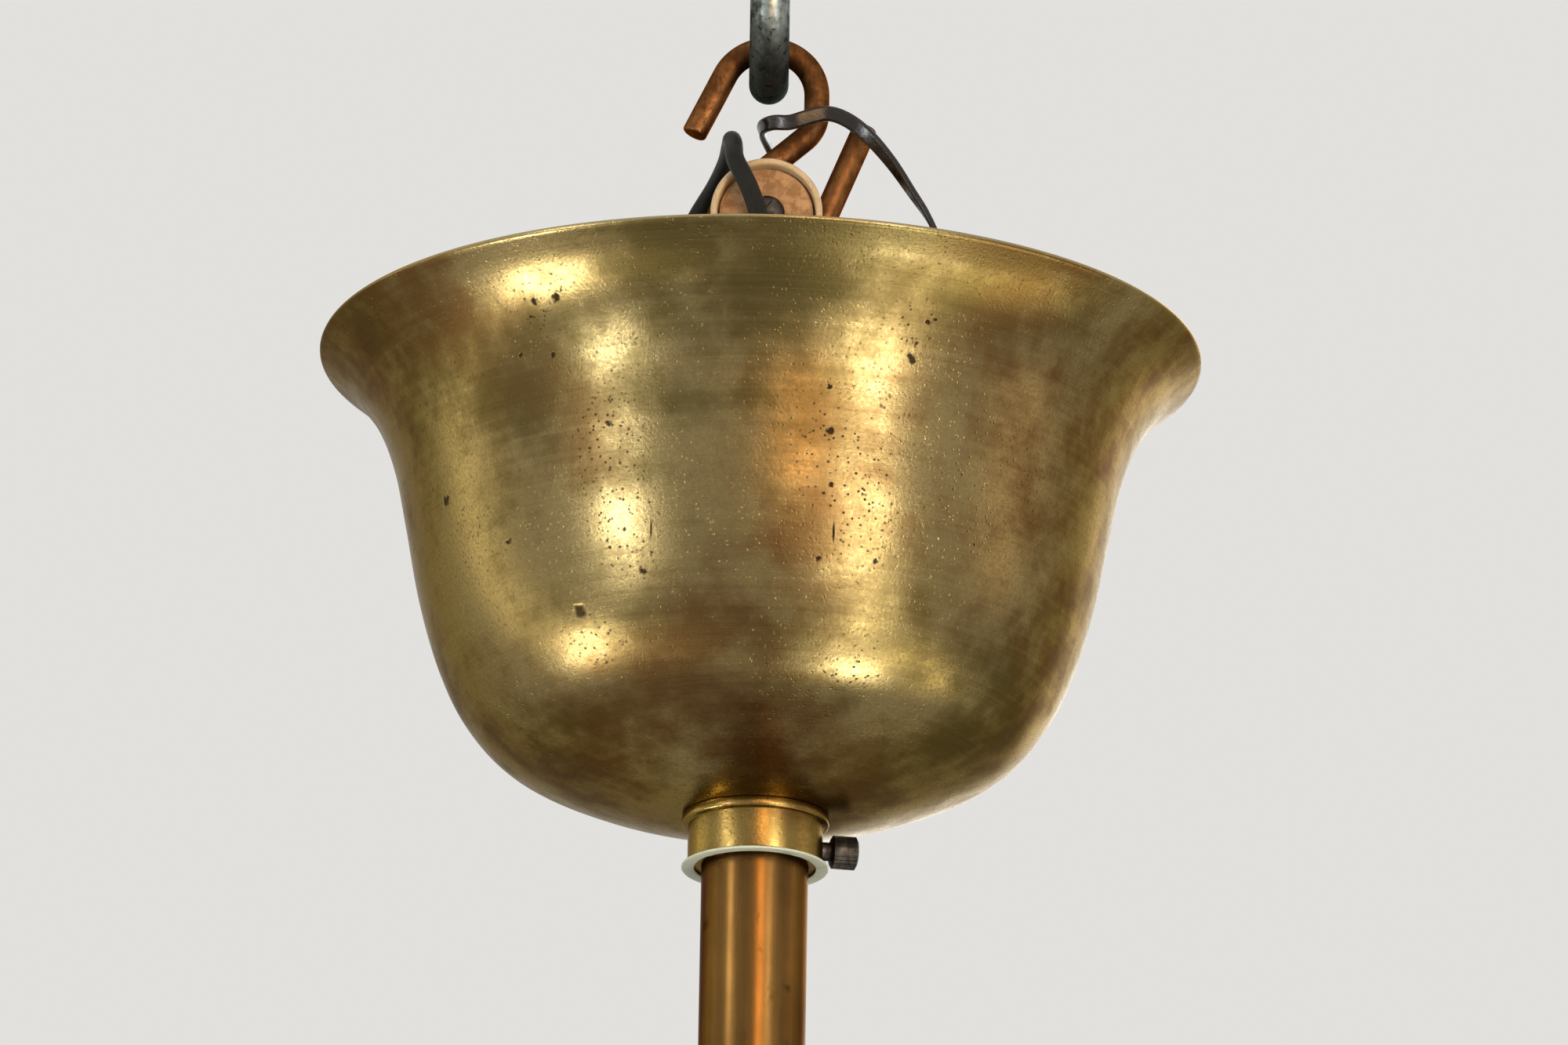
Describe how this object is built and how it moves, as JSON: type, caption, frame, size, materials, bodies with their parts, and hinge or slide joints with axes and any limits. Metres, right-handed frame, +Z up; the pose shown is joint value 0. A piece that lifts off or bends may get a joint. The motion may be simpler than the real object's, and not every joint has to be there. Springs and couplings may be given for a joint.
{
  "type": "ceiling chandelier",
  "caption": "Brass chandelier with branching arms and glass shades, hung by an S-hook and insulating spool from a steel ceiling hook, with a loose bell canopy on a clamping collar.",
  "frame": {"origin": "on the axis in the plane of the ceiling, where the hook shank leaves it", "axes": "+Z up into the ceiling along the shank; +X to the right and +Y away from the viewer of the picture"},
  "size_m": [0.4525, 0.4525, 0.6104],
  "materials": {
    "steel_hook": "bright worn steel with dark pitting",
    "copper_wire": "dark worn copper plating on steel wire",
    "spool_ceramic": "old glazed cream, hazed",
    "yoke_copper": "dull coppered strip",
    "dark_steel": "blackened steel",
    "zinc_steel": "zinc-plated",
    "block_plastic": "moulded, satin",
    "thread_brass": "turned and threaded",
    "stem_brass": "dark drawn brass, aged",
    "canopy_brass": "spun satin brass with tarnish specks",
    "collar_brass": "turned satin brass",
    "ring_pale": "moulded, satin",
    "black_lead": "flexible sheath, satin",
    "flex_sheath": "flat twin flex, old and dull",
    "inner_cable": "sheath, satin",
    "arm_brass": "satin brass",
    "holder_plastic": "moulded, satin",
    "shade_glass": "opal glass, satin",
    "lamp_glass": "opal lamp glass, gloss"
  },
  "bodies": {
    "ceiling": {"ceiling_hook": "steel_hook"},
    "link": {"s_hook": "copper_wire"},
    "fixture": {"insulator_spool": "spool_ceramic", "yoke": "yoke_copper", "spool_screw": "dark_steel", "spool_nut": "dark_steel", "terminal_plate": "zinc_steel", "terminal_block": "block_plastic", "terminal_screws": "thread_brass", "top_nipple": "thread_brass", "yoke_nut": "zinc_steel", "stem_bushes": "thread_brass", "stem_tube": "stem_brass", "stem_cable": "inner_cable", "black_lead": "black_lead", "twin_flex": "flex_sheath", "hub_cover": "canopy_brass", "hub_drum": "arm_brass", "hub_rod": "thread_brass", "hub_nut": "zinc_steel", "hub_connector": "block_plastic", "hub_dish": "canopy_brass", "finial": "arm_brass", "arm_nuts": "zinc_steel", "arm_wires": "inner_cable", "arm_1": "arm_brass", "arm_2": "arm_brass", "arm_3": "arm_brass", "arm_4": "arm_brass", "arm_5": "arm_brass", "lamp_cup_1": "arm_brass", "lamp_cup_2": "arm_brass", "lamp_cup_3": "arm_brass", "lamp_cup_4": "arm_brass", "lamp_cup_5": "arm_brass", "lampholder_1": "holder_plastic", "lampholder_2": "holder_plastic", "lampholder_3": "holder_plastic", "lampholder_4": "holder_plastic", "lampholder_5": "holder_plastic", "shade_ring_1": "holder_plastic", "shade_ring_2": "holder_plastic", "shade_ring_3": "holder_plastic", "shade_ring_4": "holder_plastic", "shade_ring_5": "holder_plastic", "shade_1": "shade_glass", "shade_2": "shade_glass", "shade_3": "shade_glass", "shade_4": "shade_glass", "shade_5": "shade_glass"},
    "sleeve": {"collar": "collar_brass", "collar_ring": "ring_pale"},
    "bell": {"canopy": "canopy_brass"},
    "clamp_screw": {"thumb_screw": "dark_steel"},
    "lamp_1": {"bulb_1": "lamp_glass"},
    "lamp_2": {"bulb_2": "lamp_glass"},
    "lamp_3": {"bulb_3": "lamp_glass"},
    "lamp_4": {"bulb_4": "lamp_glass"},
    "lamp_5": {"bulb_5": "lamp_glass"}
  },
  "joints": [
    {"name": "hook_swing", "type": "hinge", "parent": "ceiling", "child": "link", "pos_m": [0, 0, -0.0325], "axis": [1, 0, 0], "range_deg": [-15, 15]},
    {"name": "spool_swing", "type": "hinge", "parent": "link", "child": "fixture", "pos_m": [0, 0, -0.0622], "axis": [0, 1, 0], "range_deg": [-5, 5]},
    {"name": "collar_slide", "type": "slide", "parent": "fixture", "child": "sleeve", "axis": [0, 0, 1], "range_m": [-0.29, 0.03]},
    {"name": "canopy_lift", "type": "slide", "parent": "sleeve", "child": "bell", "axis": [0, 0, 1], "range_m": [0, 0.02]},
    {"name": "thumb_screw_turn", "type": "hinge", "parent": "sleeve", "child": "clamp_screw", "pos_m": [0.0132, 0.00233, -0.15865], "axis": [0.9848, 0.1736, 0], "range_deg": [0, 360]},
    {"name": "bulb_1_turn", "type": "hinge", "parent": "fixture", "child": "lamp_1", "pos_m": [0.02985, -0.18848, -0.3737], "axis": [0, 0, 1], "range_deg": [0, 360]},
    {"name": "bulb_2_turn", "type": "hinge", "parent": "fixture", "child": "lamp_2", "pos_m": [0.18848, -0.02985, -0.3737], "axis": [0, 0, 1], "range_deg": [0, 360]},
    {"name": "bulb_3_turn", "type": "hinge", "parent": "fixture", "child": "lamp_3", "pos_m": [0.08664, 0.17003, -0.3737], "axis": [0, 0, 1], "range_deg": [0, 360]},
    {"name": "bulb_4_turn", "type": "hinge", "parent": "fixture", "child": "lamp_4", "pos_m": [-0.13494, 0.13494, -0.3737], "axis": [0, 0, 1], "range_deg": [0, 360]},
    {"name": "bulb_5_turn", "type": "hinge", "parent": "fixture", "child": "lamp_5", "pos_m": [-0.17003, -0.08664, -0.3737], "axis": [0, 0, 1], "range_deg": [0, 360]}
  ]
}
